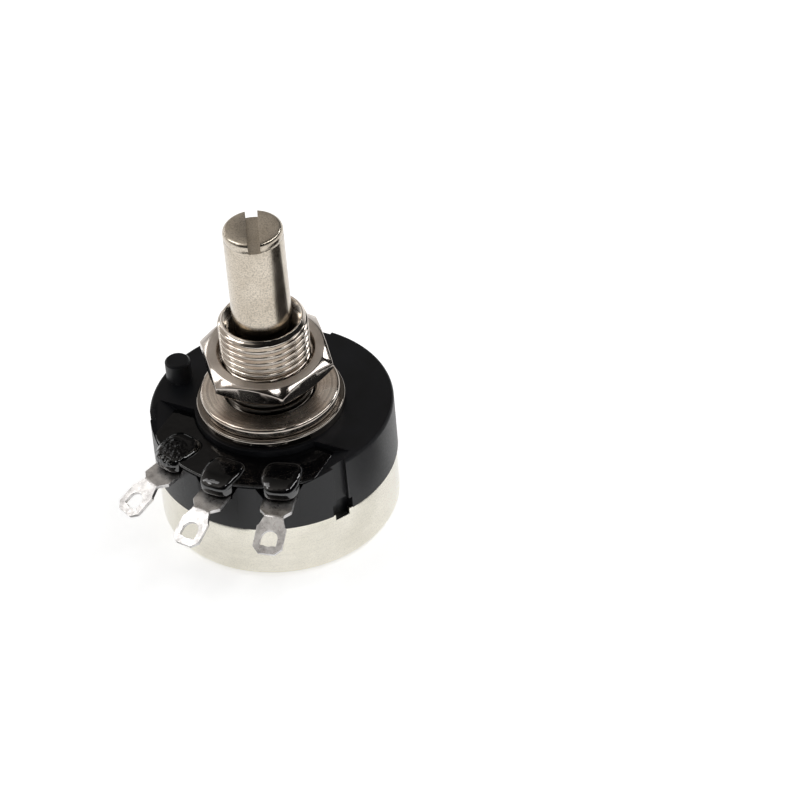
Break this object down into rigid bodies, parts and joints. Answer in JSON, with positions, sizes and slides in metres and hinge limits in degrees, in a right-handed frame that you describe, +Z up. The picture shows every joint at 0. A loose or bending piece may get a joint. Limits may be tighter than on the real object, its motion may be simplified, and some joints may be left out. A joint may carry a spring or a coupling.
{
  "type": "rotary potentiometer",
  "caption": "Rotary potentiometer with a slotted round shaft, a threaded bushing with nut and flat washer, a moulded front, a drawn metal rear cover and solder terminals.",
  "frame": {"origin": "on the shaft's axis, at the front face of the moulded housing", "axes": "+Z up the shaft, away from the body; -Y towards the middle terminal; the locating lug is on -X"},
  "size_m": [0.0246, 0.0309, 0.0349],
  "materials": {
    "moulded_phenolic": "satin black moulded phenolic",
    "nickel_plated_sheet": "bright nickel on drawn steel",
    "nickel_plated_bushing": "bright nickel on turned brass",
    "nickel_plated_washer": "bright nickel on stamped steel",
    "nickel_plated_nut": "bright nickel on milled brass",
    "tinned_brass": "tinned stamped sheet",
    "plated_rivet": "plated",
    "sealing_compound": "glossy black cast compound",
    "paper_phenolic": "pressed brown board",
    "carbon_film": "printed carbon",
    "silver_ink": "printed silver ink",
    "silver_plated_brass": "silver plated",
    "nickel_plated_shaft": "bright nickel on turned brass",
    "phosphor_bronze": "rolled bronze",
    "spring_steel": "oiled spring steel",
    "rotor_phenolic": "brown moulded phenolic",
    "nickel_silver": "rolled nickel silver",
    "silver_button": "silver"
  },
  "bodies": {
    "body": {"front_housing": "moulded_phenolic", "rear_cover": "nickel_plated_sheet", "bushing": "nickel_plated_bushing", "mounting_washer": "nickel_plated_washer", "mounting_nut": "nickel_plated_nut", "terminal_1": "tinned_brass", "terminal_2": "tinned_brass", "terminal_3": "tinned_brass", "terminal_rivets": "plated_rivet", "terminal_seal": "sealing_compound", "element_board": "paper_phenolic", "carbon_track": "carbon_film", "end_contacts": "silver_ink", "collector_ring": "silver_plated_brass", "thrust_washer": "phosphor_bronze"},
    "spindle": {"shaft": "nickel_plated_shaft", "retaining_ring": "spring_steel", "rotor": "rotor_phenolic", "wiper_spring": "nickel_silver", "wiper_contacts": "silver_button"}
  },
  "joints": [
    {"name": "shaft_turn", "type": "hinge", "parent": "body", "child": "spindle", "pos_m": [0, 0, 0], "axis": [0, 0, 1], "range_deg": [-180, 120]}
  ]
}
